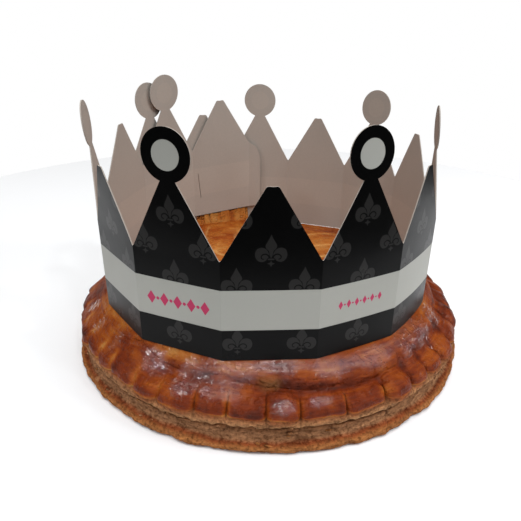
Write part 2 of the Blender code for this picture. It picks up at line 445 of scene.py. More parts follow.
def foot_rise(index, count):
    from_inner, from_outer = index, count - 1 - index
    inner = INNER_RISE * max(0.0, 1 - from_inner / INNER_RISE_PANELS)
    outer = OUTER_RISE * max(0.0, 1 - from_outer / OUTER_RISE_PANELS)
    return max(inner, outer)


def tab_end(plan):
    """The plan point where the tab past the inner end stops."""
    along = plan[0] - plan[1]
    heading = math.atan2(along.y, along.x) - math.radians(TAB_TURN)
    return plan[0] + Vector((math.cos(heading), math.sin(heading))) * TAB


PLAN = crease_plan()
TAB_PLACE = tab_end(PLAN)
FOOT = CROWN_LOW.z / MM
FEET = [FOOT + foot_rise(i, len(PLAN)) for i in range(len(PLAN))]
TAB_FOOT = FEET[0] + INNER_RISE * TAB / (PANEL_WIDTH * INNER_RISE_PANELS)


def outward(first, second):
    along = (second - first).normalized()
    return Vector((along.y, -along.x))


NORMALS = [outward(a, b) for a, b in zip(PLAN, PLAN[1:])]
TAB_NORMAL = outward(TAB_PLACE, PLAN[0])


def crease_offset(i):
    """At a crease, the step from the middle of the card to its outer face."""
    before = NORMALS[i - 1] if i else TAB_NORMAL
    after = NORMALS[min(len(NORMALS) - 1, i)]
    return (before + after) * (CARD / 2) / (1 + before.dot(after))


# ---- crown: flat outlines and print, in mm


def arc(centre, radius, start, end, steps):
    """Points on an ellipse, with its angles in degrees from +X."""
    radius_x, radius_y = radius if isinstance(radius, tuple) else (radius, radius)
    turns = [math.radians(start + (end - start) * i / steps) for i in range(steps + 1)]
    return [(centre[0] + radius_x * math.cos(t), centre[1] + radius_y * math.sin(t)) for t in turns]


def spline_point(p, q, r, s, t):
    """One coordinate of a Catmull-Rom curve, a share t of the way from q to r."""
    return 0.5 * (2 * q + (r - p) * t + (2 * p - 5 * q + 4 * r - s) * t**2 + (3 * q - p - 3 * r + s) * t**3)


def smooth_through(points, steps):
    """A Catmull-Rom curve through the points."""
    ends = [points[0]] + list(points) + [points[-1]]
    made = []
    for four in zip(ends, ends[1:], ends[2:], ends[3:]):
        made += [tuple(spline_point(*values, i / steps) for values in zip(*four)) for i in range(steps)]
    return made + [tuple(points[-1])]


def curve_point(first, corner, last, t):
    """The point a share t along the curve from first to last that corner pulls at."""
    return tuple(first.lerp(corner, t).lerp(corner.lerp(last, t), t))


def rounded_corner(before, corner, after, reach, steps=4):
    """The corner as a small curve that starts and ends reach away from it."""
    corner, before, after = Vector(corner), Vector(before), Vector(after)
    first = corner + (before - corner).normalized() * reach
    last = corner + (after - corner).normalized() * reach
    return [curve_point(first, corner, last, i / steps) for i in range(steps + 1)]


def split(first, last, step):
    """Points from first up to but not including last, about one step apart."""
    first, last = Vector(first), Vector(last)
    count = max(1, round((last - first).length / step))
    return [tuple(first.lerp(last, i / count)) for i in range(count)]


def point_outline(panel):
    """The die-cut edge from the right valley over the point to the left valley."""
    middle = PANEL_WIDTH / 2
    right, left = (PANEL_WIDTH, VALLEY_HEIGHT + VALLEY_ROUND), (0.0, VALLEY_HEIGHT + VALLEY_ROUND)
    if panel % 2 == 0:
        tips = [(middle + PLAIN_TIP_HALF, PLAIN_TIP_HEIGHT), (middle - PLAIN_TIP_HALF, PLAIN_TIP_HEIGHT)]
        top = rounded_corner(right, tips[0], tips[1], 0.8)
        top += [(middle, PLAIN_TIP_HEIGHT - 0.15)]
        top += rounded_corner(tips[0], tips[1], left, 0.8)
    else:
        neck = math.degrees(math.asin(NECK_HALF / BALL_RADIUS))
        top = arc((middle, BALL_HEIGHT), BALL_RADIUS, -90 + neck, 270 - neck, 44)
    slope_right = valley_curve(top[0], right)
    mirror_tip = (PANEL_WIDTH - top[-1][0], top[-1][1])
    slope_left = [(PANEL_WIDTH - x, y) for x, y in valley_curve(mirror_tip, right)][::-1]
    return slope_right + top[1:-1] + slope_left


def valley_curve(tip, valley):
    """From the valley's level bottom up a straight slope to the tip."""
    tip, valley = Vector(tip), Vector(valley)
    slope = (tip - Vector((PANEL_WIDTH, VALLEY_HEIGHT))).normalized()
    level = Vector((PANEL_WIDTH, VALLEY_HEIGHT)) + slope * (valley.y - VALLEY_HEIGHT) / slope.y
    top = level + slope * 1.2
    return [curve_point(valley, level, top, i / 3) for i in range(3)] + split(top, tip, 3.5) + [tuple(tip)]


CREASE_HEIGHTS = [0.0, 4.0, 8.0, 12.0, BAND[0], 21.0, 26.0, 31.0, BAND[1], 40.5, 45.0]
CREASE_HEIGHTS += [VALLEY_HEIGHT + VALLEY_ROUND]


def panel_outline(panel):
    bottom = split((0.0, 0.0), (PANEL_WIDTH, 0.0), 4.4)
    right = [(PANEL_WIDTH, height) for height in CREASE_HEIGHTS[:-1]]
    left = [(0.0, height) for height in CREASE_HEIGHTS[1:-1]][::-1]
    return bottom + right + point_outline(panel) + left


def mirrored(points):
    return [(-x, y) for x, y in points][::-1]


def thick_line(path, widths):
    """The outline of a line that changes width along its path."""
    left, right = [], []
    for i, (x, y) in enumerate(path):
        ahead, behind = path[min(i + 1, len(path) - 1)], path[max(i - 1, 0)]
        along = (Vector(ahead) - Vector(behind)).normalized()
        half = widths[0] + (widths[1] - widths[0]) * i / (len(path) - 1)
        left.append((x - along.y * half, y + along.x * half))
        right.append((x + along.y * half, y - along.x * half))
    return left + right[::-1]


def fleur_shapes():
    """A plain heraldic lily as (printed shapes, slits in them), around its own centre."""
    half = smooth_through(
        [(0, 7.35), (0.8, 5.5), (1.8, 3.7), (2.45, 2.2), (1.9, 0.9), (1.05, 0.1), (0.75, -1.1), (0.5, -2.4),
         (0, -3.3)],
        2,
    )  # fmt: skip
    petal = half + mirrored(half)[1:-1]
    lobe = smooth_through(
        [(0.7, -2.6), (1.0, -1.0), (2.2, 0.9), (4.1, 1.5), (5.9, 0.8), (6.75, -1.1), (6.5, -3.1), (5.2, -4.7),
         (3.6, -5.0), (2.2, -4.4), (1.6, -3.4)],
        2,
    )  # fmt: skip
    curl = [(0.5, -3.1), (1.1, -2.2), (2.1, -1.5), (3.3, -1.6), (4.1, -2.4), (4.0, -3.4), (3.1, -3.8)]
    slit = thick_line(smooth_through(curl, 3), (0.34, 0.20))
    bar = [(-1.4, -4.15), (1.4, -4.15), (1.4, -3.45), (-1.4, -3.45)]
    star_half = [(0, -4.4), (0.45, -5.3), (1.65, -5.8), (0.45, -6.3), (0, -7.4)]
    star = star_half + mirrored(star_half)[1:-1]
    return [petal, lobe, mirrored(lobe), bar, star], [slit, mirrored(slit)]


def fleur_centres(panel):
    for column in range(3):
        across = 3 * (panel - FRONT_PANEL) + column
        for row in range(5):
            if (across + row) % 2 == 0:
                yield LATTICE_START[0] + LATTICE_STEP[0] * column, LATTICE_START[1] + LATTICE_STEP[1] * row


def ornament_shapes(panel):
    """A row of plain lozenges and dots on the pale band."""
    middle = (PANEL_WIDTH / 2, sum(BAND) / 2 - 0.5)
    if panel == BOLD_ORNAMENT_PANEL:
        half_width, half_height, dot, step, count = 2.3, 3.4, 0.85, 7.0, 5
    elif panel == FINE_ORNAMENT_PANEL:
        half_width, half_height, dot, step, count = 1.2, 2.2, 0.5, 4.4, 6
    else:
        return []
    shapes = []
    for i in range(count):
        x = middle[0] + (i - (count - 1) / 2) * step
        y = middle[1]
        shapes.append([(x, y + half_height), (x - half_width, y), (x, y - half_height), (x + half_width, y)])
        if i < count - 1:
            shapes.append(arc((x + step / 2, y), dot, 0, 330, 11))
    return shapes


def inside(points, polygon):
    """For each point, whether it lies in the polygon."""
    x, y = points[:, 0], points[:, 1]
    found = np.zeros(len(points), bool)
    for (x1, y1), (x2, y2) in zip(polygon, polygon[1:] + polygon[:1]):
        crosses = (y1 > y) != (y2 > y)
        if y1 != y2:
            found ^= crosses & (x < (x2 - x1) * (y - y1) / (y2 - y1) + x1)
    return found


BLACK, GREY, PALE, PINK, BARE, PAINTED_BACKLIGHT = range(6)


def panel_fleurs(panel):
    """The lilies of one panel, each as (printed shapes, slits), without those that the pale band covers."""
    fleurs = []
    for x, y in fleur_centres(panel):
        fleur = [[[(x + a, y + b) for a, b in shape] for shape in group] for group in fleur_shapes()]
        heights = [height for _, height in fleur[0][0]]
        if min(heights) <= BAND[0] - 8 or max(heights) >= BAND[1]:
            fleurs.append(fleur)
    return fleurs


def slot_outline(panel):
    """The thin slot that the strip's end has, on one panel only."""
    if panel != SLOT_PANEL:
        return []
    x, y = SLOT_AT
    head = x + SLOT_LEAN
    top = y + SLOT_LONG
    return [(x - SLOT_HALF, y), (x + SLOT_HALF, y), (head + SLOT_HALF, top), (head - SLOT_HALF, top)]


def triangulated(points, edges, kind):
    """(points, triangles) of a flat drawing. kind is the one that delaunay_2d_cdt takes."""
    made, _, faces, _, _, _ = delaunay_2d_cdt(points, edges, [], kind, 1e-4)
    return np.array([tuple(point) for point in made]), np.array([list(face) for face in faces])


def flat_panel(panel):
    """One panel cut along its print: (points, triangles, the print's colour on each triangle)."""
    outline, slot = panel_outline(panel), slot_outline(panel)
    fleurs, ornament = panel_fleurs(panel), ornament_shapes(panel)
    disc = arc((PANEL_WIDTH / 2, BALL_HEIGHT), DISC_RADIUS, 0, 350, 35) if panel % 2 else []
    loops = [outline] + [shape for fleur in fleurs for group in fleur for shape in group]
    loops += ornament + [loop for loop in (disc, slot) if loop]
    points, edges = [], []
    for loop in loops:
        start = len(points)
        points += [Vector(point) for point in loop]
        edges += [(start + i, start + (i + 1) % len(loop)) for i in range(len(loop))]
    for height in BAND:
        start = len(points)
        line = split((0.0, height), (PANEL_WIDTH, height), 4.4) + [(PANEL_WIDTH, height)]
        points += [Vector(point) for point in line]
        edges += [(start + i, start + i + 1) for i in range(len(line) - 1)]
    points += [
        Vector((x, y))
        for x in np.arange(3.6, PANEL_WIDTH - 2, 4.55)
        for y in np.arange(2.6, BALL_HEIGHT + BALL_RADIUS, 4.1)
        if inside(np.array([[x, y]]), outline)[0]
    ]
    flat, faces = triangulated(points, edges, 0)
    middles = flat[faces].mean(axis=1)
    keep = inside(middles, outline)
    if slot:
        keep &= ~inside(middles, slot)
    return flat, faces[keep], print_colors(middles[keep], fleurs, ornament, disc)


def print_colors(middles, fleurs, ornament, disc):
    """The print's colour at each triangle's middle."""
    colors = np.full(len(middles), BLACK)
    for shapes, cuts in fleurs:
        on = np.any([inside(middles, shape) for shape in shapes], axis=0)
        cut = np.any([inside(middles, shape) for shape in cuts], axis=0)
        colors[on & ~cut] = GREY
    colors[(middles[:, 1] > BAND[0]) & (middles[:, 1] < BAND[1])] = PALE
    for shape in ornament:
        colors[inside(middles, shape)] = PINK
    if disc:
        colors[inside(middles, disc)] = PALE
    return colors


def flat_tab():
    """The narrow tab, as flat_panel gives a panel. Its crease is at 0 and its free edge at -TAB."""
    bottom = split((-TAB, 0.0), (0.0, 0.0), 2.8)
    crease = [(0.0, height) for height in CREASE_HEIGHTS]
    corner = (-TAB_SHOULDER[0], TAB_SHOULDER[1])
    shoulder = rounded_corner((0.0, CREASE_HEIGHTS[-1]), corner, (-TAB, TAB_SIDE), 2.0)
    outline = bottom + crease + shoulder + split((-TAB, TAB_SIDE), (-TAB, 0.0), 4.0)
    edges = [(i, (i + 1) % len(outline)) for i in range(len(outline))]
    flat, faces = triangulated([Vector(point) for point in outline], edges, 1)
    return flat, faces, np.full(len(faces), BLACK)


# ---- crown: the folded strip


def panel_bend(panel, across, up):
    """How far the card stands out from the flat panel, in mm: nothing at the creases."""
    share = across / PANEL_WIDTH
    swell = PANEL_BOW[panel] * 4 * share * (1 - share) * (0.55 + 0.45 * math.sin(up / 31.0 + panel))
    above = max(0.0, up - VALLEY_HEIGHT)
    reach = (PLAIN_TIP_HEIGHT if panel % 2 == 0 else BALL_HEIGHT + BALL_RADIUS) - VALLEY_HEIGHT
    lean = POINT_LEAN.get(panel, 0.0) * (above / reach) ** 1.15
    curl = 0.9 * math.sin(2.3 * panel) * (above / reach) ** 2 * (share - 0.5) * 2
    return swell + lean + curl


def fold_panel(build, piece, places, edge_is_crease):
    """One flat piece of card as two faces of the folded strip, and its cut edges.

    places(across, up, side) is where a flat point goes, in mm."""
    flat, faces, colors = piece
    ends = []
    for side in (1, -1):
        ends.append([build.verts.new(places(across, up, side) * MM) for across, up in flat])
    used = set()
    for (a, b, c), color in zip(faces.tolist(), colors.tolist()):
        build.faces.new((ends[0][a], ends[0][b], ends[0][c])).material_index = color
        # Behind the pale print the bare card is drawn lighter: painted light coming through the thin card
        back = PAINTED_BACKLIGHT if color == PALE else BARE
        build.faces.new((ends[1][c], ends[1][b], ends[1][a])).material_index = back
        used.update(((a, b), (b, c), (c, a)))
    for a, b in used:
        if (b, a) not in used and not edge_is_crease(flat[a][0], flat[b][0]):
            build.faces.new((ends[0][b], ends[0][a], ends[1][a], ends[1][b])).material_index = BARE


def crown_mesh(materials):
    build = bmesh.new()
    for panel, normal in enumerate(NORMALS):

        def on_panel(across, up, side):
            share = across / PANEL_WIDTH
            low = PLAN[panel] + crease_offset(panel) * side
            high = PLAN[panel + 1] + crease_offset(panel + 1) * side
            place = low.lerp(high, share) + normal * panel_bend(panel, across, up)
            return Vector((*place, up + FEET[panel] + (FEET[panel + 1] - FEET[panel]) * share))

        def on_crease(first, second):
            right = max(first, second) < 1e-3
            left = min(first, second) > PANEL_WIDTH - 1e-3 and panel < len(NORMALS) - 1
            return right or left

        fold_panel(build, flat_panel(panel), on_panel, on_crease)

    def on_tab(across, up, side):
        share = -across / TAB
        place = (PLAN[0] + crease_offset(0) * side).lerp(TAB_PLACE + TAB_NORMAL * (CARD / 2) * side, share)
        return Vector((*place, up + FEET[0] + (TAB_FOOT - FEET[0]) * share))

    fold_panel(build, flat_tab(), on_tab, lambda first, second: min(first, second) > -1e-3)
    bmesh.ops.remove_doubles(build, verts=build.verts, dist=2e-5)
    mesh = bpy.data.meshes.new("card_crown")
    build.to_mesh(mesh)
    build.free()
    for material in materials:
        mesh.materials.append(material)
    mesh.shade_smooth()
    mesh.set_sharp_from_angle(angle=math.radians(12))
    return new_object("card_crown", mesh)


def make_crown():
    materials = (
        card_material("print_black", (0.0020, 0.0020, 0.0020), 0.30, 0.10, 0.10),
        card_material("print_grey", (0.023, 0.022, 0.021), 0.30, 0.13, 0.10),
        card_material("print_pale", (0.455, 0.453, 0.408), 0.5, 0.3, 0.05),
        card_material("print_pink", (0.56, 0.03, 0.115), 0.5, 0.3, 0.05),
        card_material("bare_card", (0.465, 0.412, 0.358), 0.78, 0.2, 0.16),
        # A lighter copy of the bare card, for its back behind the pale print: painted light coming through
        # the card
        card_material("bare_card_painted_backlight", (0.49, 0.43, 0.37), 0.78, 0.2, 0.16),
    )
    crown = crown_mesh(materials)
    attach(crown, "root")
    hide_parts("crown")


# ---- pastry


def notch_angles():
    """Degrees from the front towards +X, all the way round."""
    first, last = FRONT_NOTCHES[0] + 360, FRONT_NOTCHES[-1]
    step = (first - last) / BACK_CUSHIONS
    return list(FRONT_NOTCHES) + [last + step * i for i in range(1, BACK_CUSHIONS)]


def cushion_columns():
    """Columns of the mesh, close together at each knife notch, as rows of numbers."""
    notches = notch_angles()
    chance = random.Random(6)
    near = (0.0, 0.18, 0.42, 0.8, 1.3)  # mm from the notch
    columns = []
    slants = [chance.uniform(-1.0, 1.0) for _ in notches]
    spreads = [[chance.uniform(-CUSHION_SPREAD, CUSHION_SPREAD) for _ in range(2)] for _ in notches]
    for i, (here, after) in enumerate(zip(notches, notches[1:] + [notches[0] + 360])):
        wide = math.radians(after - here) * RIM_RADIUS
        middle = COLUMNS_PER_CUSHION - 2 * len(near) + 1
        places = list(near)
        places += [near[-1] + (wide - 2 * near[-1]) * (j + 1) / (middle + 1) for j in range(middle)]
        places += [wide - place for place in near[:0:-1]]
        for place in places:
            share = place / wide
            slant = slants[i] * (1 - share) + slants[(i + 1) % len(slants)] * share
            angle = here + (after - here) * share
            columns.append((angle, share, min(place, wide - place), *spreads[i], slant))
    names = ("angle", "share", "apart", "out", "up", "slant")
    return {name: np.array(values, float) for name, values in zip(names, zip(*columns))}


def resampled(points, spacing):
    """The curve through points, with a row every spacing(radius, height) mm."""
    fine = np.array(points)
    length = np.concatenate([[0], np.cumsum(np.hypot(*np.diff(fine, axis=0).T))])
    rows, at = [0.0], 0.0
    while at < length[-1]:
        radius, height = (np.interp(at, length, fine[:, k]) for k in (0, 1))
        at += spacing(radius, height)
        rows.append(min(at, length[-1]))
    return np.stack([np.interp(rows, length, fine[:, k]) for k in (0, 1)], axis=1)


def row_spacing(radius, height):
    if radius > DOME_RADIUS + 0.4:
        if 5.0 < height < 15.5:
            return 0.40
        return 0.70 if height < 25.5 else 0.62
    if radius > 84:
        return 0.75
    return 1.3 if radius > 60 else 2.0


def profile():
    """(radius, height) rows from the floor up the side, over the rim and up the dome to near its middle."""
    side = smooth_through(SIDE_PROFILE, 12)
    turns = np.radians(np.linspace(88, 2.0, 240))
    power = 2 / DOME_POWER
    dome = [(DOME_RADIUS * math.sin(t) ** power, DOME_FOOT + DOME_RISE * math.cos(t)) for t in turns]
    return resampled(side + dome, row_spacing)


def foot_gap(places):
    """For each plan point, in mm: (distance to the card's line, the card's foot there)."""
    best = np.full(len(places), 1e9)
    foot = np.zeros(len(places))
    for i, (a, b) in enumerate(zip(PLAN, PLAN[1:])):
        along = np.array(b - a)
        share = np.clip(((places - np.array(a)) @ along) / (along @ along), 0, 1)
        apart = np.hypot(*(places - (np.array(a) + share[:, None] * along)).T)
        here = FEET[i] + (FEET[i + 1] - FEET[i]) * share
        closer = apart < best
        best = np.where(closer, apart, best)
        foot = np.where(closer, here, foot)
    return best, foot


def score_mask(points):
    """How near a point of the dome is to one of the curved knife lines, from 0 to 1."""
    x, y = points[..., 0], points[..., 1]
    radius = np.hypot(x, y)
    wander = 3.0 * noise(points, 11.0, 5)
    swirl = np.degrees(np.arctan2(y, x)) + 34 * (radius / 80) ** 1.6 + wander * 10 / np.maximum(radius, 12)
    step = 360 / SCORE_LINES
    apart = np.abs(np.radians((swirl % step) - step / 2)) * radius
    line = bump_at(apart, 0, np.maximum(1.3 + 0.9 * noise(points, 6.0, 9), 0.5))
    return line * ramp(radius, 9, 15) * (1 - ramp(radius, 78, 86))


def by_angle(table, angle):
    """A value given at some angles from the front, in degrees, and in between."""
    return np.interp((angle + 180) % 360 - 180, *zip(*table))


def stretched(points, factor):
    """Points pulled out in height, so that noise on them lies in thin level sheets."""
    return points * np.array([1.0, 1.0, factor])


def pastry_grid():
    """The smooth pastry as rows up its side and columns round it, with where each point lies."""
    columns = cushion_columns()
    rows = profile()
    wide = len(columns["angle"])
    slope = np.gradient(rows, axis=0)
    slope /= np.linalg.norm(slope, axis=1, keepdims=True)
    length = np.concatenate([[0], np.cumsum(np.hypot(*np.diff(rows, axis=0).T))])
    by_row = (rows[:, 0], rows[:, 1], slope[:, 1], -slope[:, 0], length)
    radius, height, normal_r, normal_z, length = (np.repeat(row[:, None], wide, axis=1) for row in by_row)
    on_rim = radius > DOME_RADIUS + 0.3
    low = ramp(height, 25.0, 6.0) * on_rim
    angle = columns["angle"] + np.degrees(columns["slant"] * low / RIM_RADIUS)
    turn = np.radians(angle)
    ring = np.stack([RIM_RADIUS * np.sin(turn), -RIM_RADIUS * np.cos(turn), height], -1)
    wrapped = (angle + 180) % 360 - 180
    grid = SimpleNamespace(
        radius=radius, height=height, length=length, normal_r=normal_r, normal_z=normal_z,
        turn=turn, angle=angle, wrapped=wrapped, on_rim=on_rim, on_dome=~on_rim,
        ring=ring, plan=ring * np.array([1, 1, 0]),
        shell=np.stack([radius * np.sin(turn), -radius * np.cos(turn), 0 * radius], -1),
        share=columns["share"][None, :], apart=columns["apart"][None, :],
        out=columns["out"][None, :], up=columns["up"][None, :],
    )  # fmt: skip
    add_zones(grid)
    return grid


def add_zones(grid):
    """Adds to the grid how strongly each point belongs to the zones that shape and looks share."""
    height, wrapped = grid.height, grid.wrapped
    grid.above = ramp(height, 13.8, 16.5) * grid.on_rim
    grid.below = (1 - ramp(height, 12.0, 14.0)) * grid.on_rim
    grid.petals = ramp(wrapped, 22, 31) * (1 - ramp(wrapped, 68, 78))
    soft = 1 - ramp(wrapped, -52, -36) * (1 - ramp(wrapped, 178, 180))
    grid.soft_left = np.where(wrapped < -95, 0.0, soft)
    grid.knife = bump_at(grid.apart, 0, 0.36) * by_angle(KNIFE_STRENGTHS, grid.angle)
    grid.furrow = grid.petals * bump_at(grid.radius, 105.5, 4.6) * ramp(height, 17, 22)
    grid.shift = by_angle(GROOVE_SHIFTS, grid.angle)
    grid.groove_depth = by_angle(GROOVE_DEPTHS, grid.angle)
    grid.groove = bump_at(grid.radius, 103.4, 2.4) * (height > 22) * grid.groove_depth
    grid.score = score_mask(grid.shell) * grid.on_dome
    grid.opened = ramp(noise(grid.plan, 15.0, 11) + 0.35 * noise(grid.plan, 5.0, 12), -0.25, 0.45)


def cushion_relief(grid):
    """The knife notches and the cushions between them, in mm: (relief outwards, lift)."""
    height = grid.height
    depth = np.interp(height, *zip(*NOTCH_DEPTHS)) * grid.on_rim
    depth = np.where(height > 21, depth * ramp(grid.radius, 102.5, 108.0), depth)
    pillow = 0.45 * bump_at(grid.apart, 0, 2.6) + 0.55 * bump_at(grid.apart, 0, 1.2)
    deeper = 1 + (DEEPER - 1) * grid.petals * ramp(height, 12, 18) + 0.5 * grid.soft_left
    face = ramp(height, 25.6, 21.0)
    cut = grid.above * depth * deeper * ((0.25 + 0.5 * face) * pillow + 0.45 * grid.knife)
    cut += grid.below * depth * (0.30 * pillow + 0.25 * grid.knife)
    cut += 2.7 * grid.furrow * bump_at(grid.apart, 0, 2.7)
    swell = (1 - np.abs(2 * grid.share - 1) ** 2.2) * grid.above
    return 1.3 * grid.out * swell - cut, grid.up * swell * (1 + ramp(height, 20, 24))


def torn_relief(grid):
    """Uneven baking, flaky layers and torn edges of the side and the rim, in mm: (relief outwards, lift)."""
    ring, plan = grid.ring, grid.plan

    def band(middle, width):
        return bump_at(grid.height, middle, width) * grid.on_rim

    thin_sheets = rough_noise(stretched(ring, 4), 3.4, 9)
    relief = 0.7 * noise(plan, 34.0, 1) * grid.on_rim
    relief += grid.above * (0.75 * rough_noise(ring, 8.0, 2) + 0.45 * rough_noise(ring, 3.2, 3))
    foot = 1.1 * rough_noise(plan, 13.0, 4) + 1.1 * rough_noise(stretched(ring, 2.5), 4.5, 5)
    relief += foot * band(2.4, 2.6)
    flaky = 0.75 * noise(stretched(ring, 6), 7.5, 6) + 0.85 * thin_sheets
    flaky += 0.6 * rough_noise(ring, 1.9, 7) - 0.2
    relief += flaky * band(8.8, 3.6)
    lid_lines = 0.4 * noise(stretched(ring, 5), 9.0, 8) + 0.5 * thin_sheets
    relief += lid_lines * band(15.8, 2.0)
    relief -= 1.9 * grid.opened * band(12.3, 0.6)
    torn = 1.5 * rough_noise(plan, 3.0, 13) + 1.7 * noise(plan, 17.0, 14) - 0.3
    lift = torn * band(12.8, 1.7)
    lower_edge = 0.9 * rough_noise(plan, 5.0, 15) + 0.9 * noise(plan, 26.0, 16)
    lift += lower_edge * band(5.2, 1.8)
    lift += (0.7 * noise(plan, 22.0, 17) + 0.45 * noise(plan, 9.0, 18)) * grid.above
    return relief, lift


def dome_relief(grid):
    """The groove, the scored lines and the dome's lumps, in mm: (relief outwards, lift)."""
    inner = grid.height > 22
    lift = (1 - grid.groove_depth) * 1.5 * bump_at(grid.radius, 103.2, 3.6) * inner
    lift -= 0.55 * grid.shift * bump_at(grid.radius, 104.0, 5.0) * inner
    lift += 0.5 * noise(grid.shell, 11.0, 24) * ramp(grid.radius, 92, 99) * inner
    lumps = 0.55 * noise(grid.shell, 24.0, 21) + 0.22 * rough_noise(grid.shell, 6.5, 22)
    relief = (lumps - 0.55 * grid.score) * grid.on_dome
    relief -= 0.5 * grid.groove * (0.6 + 0.4 * noise(grid.plan, 17.0, 23))
    return relief, lift


def pastry_points(grid):
    """The uneven surface, in mm, centred on the frame."""
    relief, lift = (sum(parts) for parts in zip(cushion_relief(grid), torn_relief(grid), dome_relief(grid)))
    lean = np.cos(grid.turn - math.radians(DOME_SWELL_AT))
    radius = grid.radius + grid.normal_r * relief
    radius += DOME_SWELL * lean * ramp(grid.radius, 40, 100) * grid.on_dome
    radius += grid.shift * bump_at(grid.radius, 103.6, 6.0) * (grid.height > 20)
    height = grid.height + grid.normal_z * relief + lift
    height = np.where(grid.on_rim & (grid.height < 0.3), np.maximum(height, 0), height)
    points = np.stack([radius * np.sin(grid.turn), -radius * np.cos(grid.turn), height], -1)
    span = points[..., :2].reshape(-1, 2)
    points[..., :2] -= (span.max(0) + span.min(0)) / 2
    return points


def fit_to_card(grid, points):
    """Raises the dome to just under the card's foot, never through it. Returns the distances to the card."""
    flat = points.reshape(-1, 3)
    on_dome = grid.on_dome.reshape(-1)
    away = np.hypot(flat[:, 0], flat[:, 1])
    card_apart, card_foot = foot_gap(flat[:, :2])
    within = inside(flat[:, :2], [tuple(point) for point in PLAN[:-2]])
    near = bump_at(card_apart, 0, 16.0) * on_dome * within
    gap = card_foot - 0.15 - flat[:, 2]
    flat[:, 2] += np.clip(gap, -2.0, 3.0) * near * ramp(away, 70, 88)
    falling = card_foot - 0.3 - by_angle(CARD_SLOPES, grid.angle).reshape(-1) * card_apart
    falling += (0.5 * noise(grid.shell, 8.0, 25)).reshape(-1) * ramp(card_apart, 1, 4)
    falling = np.where(within | (away < 84), -99.0, falling)
    blended = np.logaddexp(flat[:, 2] * 1.6, falling * 1.6) / 1.6
    flat[:, 2] = np.where(grid.height.reshape(-1) > 19, blended, flat[:, 2])
    under = (card_apart < 1.6) & on_dome
    flat[:, 2] = np.where(under, np.minimum(flat[:, 2], card_foot - 0.12), flat[:, 2])
    flat[:, 2] = np.maximum(flat[:, 2], 0)
    return card_apart.reshape(grid.radius.shape)


def browning(grid, card_apart):
    """How brown the crust looks, from 0 to about 1. Besides its baked tone it is darker in the groove and on
    the rim's outer face, darker with painted shade in the furrows between the petals, and lighter with
    painted light next to the card's foot.
    """
    radius, height, wrapped, plan, shell = grid.radius, grid.height, grid.wrapped, grid.plan, grid.shell
    top = grid.on_rim * ramp(height, 17, 19)
    brown = (0.42 + 0.14 * ramp(radius, 90, 99)) * grid.on_dome + 0.64 * top
    brown += 0.16 * grid.groove * (1 + 0.6 * noise(plan, 14.0, 33))
    brown += 0.12 * bump_at(wrapped, -31, 12) * bump_at(radius, 103.0, 4.5) * noise(grid.ring, 6.0, 40)
    streaks = noise(np.stack([grid.turn * 4.0, radius * 0.9, 0 * radius], -1), 1.0, 39)
    brown += 0.13 * streaks * bump_at(radius, 101.0, 7.0)
    brown += 0.12 * bump_at(height, 20.0, 1.8) * top
    shoulder = bump_at(grid.apart, 0, 2.0) * (1 - grid.petals)
    brown -= (0.26 + 0.12 * grid.soft_left) * top * shoulder * ramp(height, 26.2, 23.5)
    brown -= 0.09 * grid.petals * grid.on_rim
    # Painted shade in the furrows between the petals
    brown += 0.22 * grid.furrow * bump_at(grid.apart, 0, 2.2)
    brown -= 0.10 * grid.soft_left * grid.on_rim * ramp(height, 21, 24)
    brown += 0.16 * noise(shell, 17.0, 35) + 0.14 * rough_noise(shell, 5.0, 36)
    brown -= 0.14 * bump_at(radius, 97.5, 3.0) * grid.on_dome * (0.5 + 0.7 * noise(plan, 21.0, 41))
    brown -= 0.08 * grid.on_dome * (1 - ramp(radius, 70, 92))
    brown += 0.20 * bump_at(wrapped, 0, 16) * ramp(radius, 86, 91) * grid.on_dome
    # Painted light: the crust is drawn lighter next to the card's foot, most at the front left
    lit = bump_at(card_apart, 0, 4.5) * (radius > 88)
    return brown - (0.06 + 0.16 * ramp(wrapped, -4, -16)) * lit * (0.8 + 0.5 * noise(plan, 12.0, 43))


def wetness(grid):
    """How thick the glaze stayed, from 0 to 1. It glints there."""
    wet = ramp(noise(grid.shell, 13.0, 44) + 0.4 * noise(grid.shell, 5.0, 45), 0.45, 0.85)
    wet = wet * np.where(np.abs(grid.wrapped) > 75, 0.5, 0.15)
    for at, middle, long, wide in WET_PATCHES:
        along = np.radians(grid.wrapped - at) * middle
        wet += bump_at(along, 0, long) * bump_at(grid.radius, middle, wide)
    wet += 0.25 * rough_noise(grid.shell, 3.5, 46)
    return 0.04 + 0.96 * ramp(wet, 0.30, 0.75) * ramp(grid.height, 18.5, 21.5)


